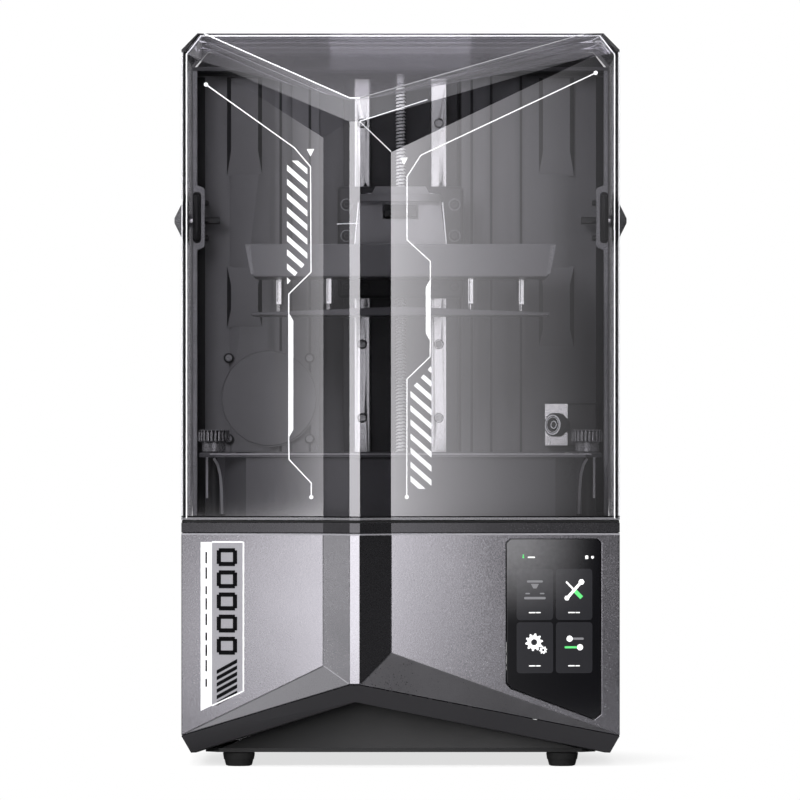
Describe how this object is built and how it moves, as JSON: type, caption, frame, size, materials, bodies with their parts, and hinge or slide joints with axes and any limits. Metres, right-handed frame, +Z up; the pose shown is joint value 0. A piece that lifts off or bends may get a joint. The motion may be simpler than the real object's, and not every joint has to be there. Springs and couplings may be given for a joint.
{
  "type": "resin printer",
  "caption": "Desktop resin printer: folded gunmetal base with touch screen, flip-up smoky lid, Z tower with cantilevered build plate, tilting tank.",
  "frame": {"origin": "centre of the footprint, on the ground under the feet", "axes": "+X to the viewer's right when facing the screen, +Y to the back, +Z up"},
  "size_m": [0.346, 0.329, 0.5485],
  "materials": {
    "gunmetal": "fine-grained metallic gunmetal paint",
    "dark_plastic": "dark grey moulded plastic",
    "wall_plastic": "satin dark grey moulded wall",
    "black_plastic": "black moulded plastic",
    "rubber": "black rubber",
    "smoke": "smoky see-through acrylic",
    "black_glass": "glossy black glass front",
    "steel": "bright ground steel",
    "chrome": "polished chrome",
    "aluminium": "blasted aluminium",
    "dark_metal": "dark anodised metal",
    "board": "green circuit board",
    "film": "clear release film and lens sheet",
    "brass": "turned brass"
  },
  "bodies": {
    "base": {"base_shell": "gunmetal", "base_skirt": "dark_plastic", "bottom_pan": "black_plastic", "foot_front_left": "rubber", "foot_front_right": "rubber", "foot_rear_left": "rubber", "foot_rear_right": "rubber", "top_deck": "dark_plastic", "touch_screen": "black_glass", "light_heatsink": "aluminium", "lamp_board": "board", "light_shroud": "black_plastic", "field_lens": "film", "exposure_screen": "black_glass", "main_board": "board", "power_supply": "aluminium", "usb_port": "steel", "power_inlet": "black_plastic", "switch_frame": "black_plastic", "base_fan_frame": "black_plastic", "z_motor": "dark_metal", "tower_housing": "dark_plastic", "inner_wall": "wall_plastic", "rail_spine": "dark_metal", "rail_left": "steel", "rail_right": "steel", "hinge_bracket_left": "black_plastic", "hinge_bracket_right": "black_plastic", "hinge_pin_left": "steel", "hinge_pin_right": "steel", "chamber_fan_frame": "black_plastic", "camera_body": "black_plastic", "camera_lens": "black_plastic", "tilt_motor": "dark_metal"},
    "lid": {"lid_shell": "smoke", "lid_seal": "rubber", "hinge_cap_left": "dark_plastic", "hinge_cap_right": "dark_plastic"},
    "screw": {"leadscrew": "steel"},
    "carriage": {"carriage_plate": "dark_metal", "rail_block_left": "steel", "rail_block_right": "steel", "screw_nut": "brass", "cantilever_arm": "aluminium"},
    "lever": {"release_lever": "black_plastic"},
    "platform": {"platform_tray": "dark_metal", "platform_post_1": "chrome", "platform_post_2": "chrome", "platform_post_3": "chrome", "platform_post_4": "chrome"},
    "plate": {"build_plate": "aluminium"},
    "cradle": {"tilt_frame": "black_plastic"},
    "tank": {"resin_tank": "dark_metal", "release_film": "film"},
    "knob_left": {"tank_knob_left": "black_plastic"},
    "knob_right": {"tank_knob_right": "black_plastic"},
    "lifter": {"tilt_lifter": "steel"},
    "rocker": {"power_rocker": "rubber"},
    "base_fan": {"base_fan_rotor": "black_plastic"},
    "chamber_fan": {"chamber_fan_rotor": "black_plastic"}
  },
  "joints": [
    {"name": "lid_hinge", "type": "hinge", "parent": "base", "child": "lid", "pos_m": [0, 0.06, 0.412], "axis": [-1, 0, 0], "range_deg": [0, 85]},
    {"name": "z_slide", "type": "slide", "parent": "base", "child": "carriage", "axis": [0, 0, 1], "range_m": [-0.152, 0.068]},
    {"name": "screw_spin", "type": "hinge", "parent": "base", "child": "screw", "pos_m": [0, 0.056, 0.3], "axis": [0, 0, 1], "range_deg": [-3062, 6842]},
    {"name": "lever_hinge", "type": "hinge", "parent": "carriage", "child": "lever", "pos_m": [0, -0.045, 0.4165], "axis": [-1, 0, 0], "range_deg": [0, 60]},
    {"name": "platform_slide", "type": "slide", "parent": "carriage", "child": "platform", "axis": [0, -1, 0], "range_m": [0, 0.035]},
    {"name": "plate_float", "type": "slide", "parent": "platform", "child": "plate", "axis": [0, 0, 1], "range_m": [0, 0.002], "stiffness_N_per_m": 4000},
    {"name": "tank_tilt", "type": "hinge", "parent": "base", "child": "cradle", "pos_m": [0, 0.043, 0.181], "axis": [-1, 0, 0], "range_deg": [0, 3]},
    {"name": "lifter_slide", "type": "slide", "parent": "base", "child": "lifter", "axis": [0, 0, 1], "range_m": [0, 0.0079]},
    {"name": "tank_lift", "type": "slide", "parent": "cradle", "child": "tank", "axis": [0, 0, 1], "range_m": [0, 0.01]},
    {"name": "knob_left_spin", "type": "hinge", "parent": "tank", "child": "knob_left", "pos_m": [-0.1416, -0.035, 0.24], "axis": [0, 0, 1], "continuous": true},
    {"name": "knob_right_spin", "type": "hinge", "parent": "tank", "child": "knob_right", "pos_m": [0.1416, -0.035, 0.24], "axis": [0, 0, 1], "continuous": true},
    {"name": "rocker_tilt", "type": "hinge", "parent": "base", "child": "rocker", "pos_m": [-0.108, 0.1595, 0.05], "axis": [1, 0, 0], "range_deg": [0, 13]},
    {"name": "base_fan_spin", "type": "hinge", "parent": "base", "child": "base_fan", "pos_m": [0.095, 0.1525, 0.095], "axis": [0, 1, 0], "continuous": true},
    {"name": "chamber_fan_spin", "type": "hinge", "parent": "base", "child": "chamber_fan", "pos_m": [-0.098, 0.085, 0.275], "axis": [0, 1, 0], "continuous": true}
  ],
  "couplings": [
    {"joint": "screw_spin", "follows": "z_slide", "rad_per_m": -785.4},
    {"joint": "lifter_slide", "follows": "tank_tilt", "m_per_rad": 0.15}
  ]
}
